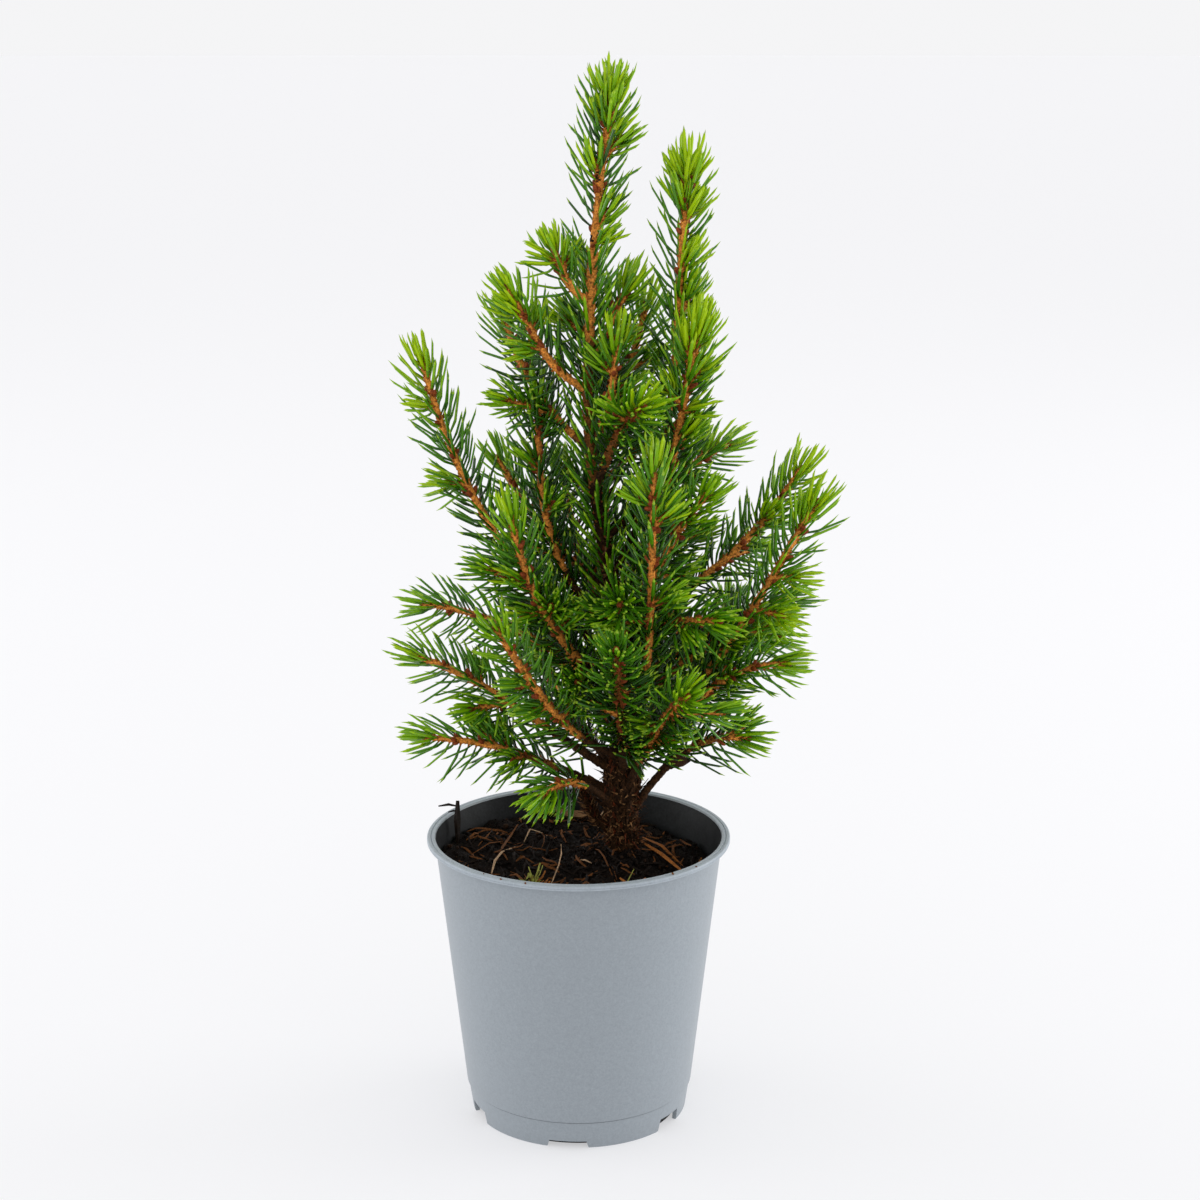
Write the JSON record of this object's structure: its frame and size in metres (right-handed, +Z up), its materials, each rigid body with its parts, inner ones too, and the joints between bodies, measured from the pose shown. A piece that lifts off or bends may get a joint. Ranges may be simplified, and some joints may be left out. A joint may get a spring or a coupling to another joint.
{
  "type": "potted dwarf conifer",
  "caption": "Young dwarf spruce with upright green needled shoots round a slim trunk, in a small round tapered grey plastic pot of dark soil.",
  "frame": {"origin": "centre of the pot's flat underside, on the surface that the pot stands on", "axes": "+Z up along the pot's axis; the plant's front faces -Y and +X is to its right, seen from the front"},
  "size_m": [0.1352, 0.1093, 0.3132],
  "materials": {
    "pot_plastic": "satin moulded blue-grey plastic with a fine speckle",
    "potting_soil": "rough, moist, nearly black crumbs",
    "bark": "shaggy scaly brown bark, orange-brown on the younger shoots",
    "needles": "satin mid-green needles with yellow-green tips"
  },
  "bodies": {
    "root": {"pot": "pot_plastic", "soil": "potting_soil", "trunk": "bark", "bough_tall_right": "bark", "bough_inner_right": "bark", "bough_dome_right": "bark", "bough_front_centre": "bark", "bough_mid_left": "bark", "bough_tall_left": "bark", "bough_tall_front_left": "bark", "bough_front_left_arm": "bark", "bough_left_arm": "bark", "bough_low_left_arm": "bark", "bough_right_arm_back": "bark", "bough_right_arm": "bark", "bough_low_right_arm": "bark", "bough_lowest_right": "bark", "bough_old_stub": "bark", "foliage_leader": "needles", "foliage_top_left": "needles", "foliage_top_right": "needles", "foliage_high_left": "needles", "foliage_high_left_back": "needles", "foliage_high_right": "needles", "foliage_high_right_back": "needles", "foliage_high_front": "needles", "foliage_tall_right": "needles", "foliage_inner_right": "needles", "foliage_dome_right": "needles", "foliage_mid_right_front": "needles", "foliage_front_centre": "needles", "foliage_front_right": "needles", "foliage_front_left": "needles", "foliage_front_low": "needles", "foliage_mid_left": "needles", "foliage_mid_left_back": "needles", "foliage_tall_left": "needles", "foliage_tall_front_left": "needles", "foliage_front_left_side": "needles", "foliage_left_back_arm": "needles", "foliage_front_left_arm": "needles", "foliage_left_arm": "needles", "foliage_low_left_arm": "needles", "foliage_rim_left": "needles", "foliage_right_arm_back": "needles", "foliage_right_arm": "needles", "foliage_droop_right": "needles", "foliage_far_right_back": "needles", "foliage_low_right_arm": "needles", "foliage_low_right_back": "needles", "foliage_low_front_right": "needles", "foliage_lowest_right": "needles", "foliage_back_low_left": "needles", "foliage_back_low_right": "needles", "foliage_back_mid": "needles", "foliage_back_mid_left": "needles", "foliage_back_mid_right": "needles", "foliage_back_high": "needles", "foliage_back_top": "needles"}
  },
  "joints": []
}
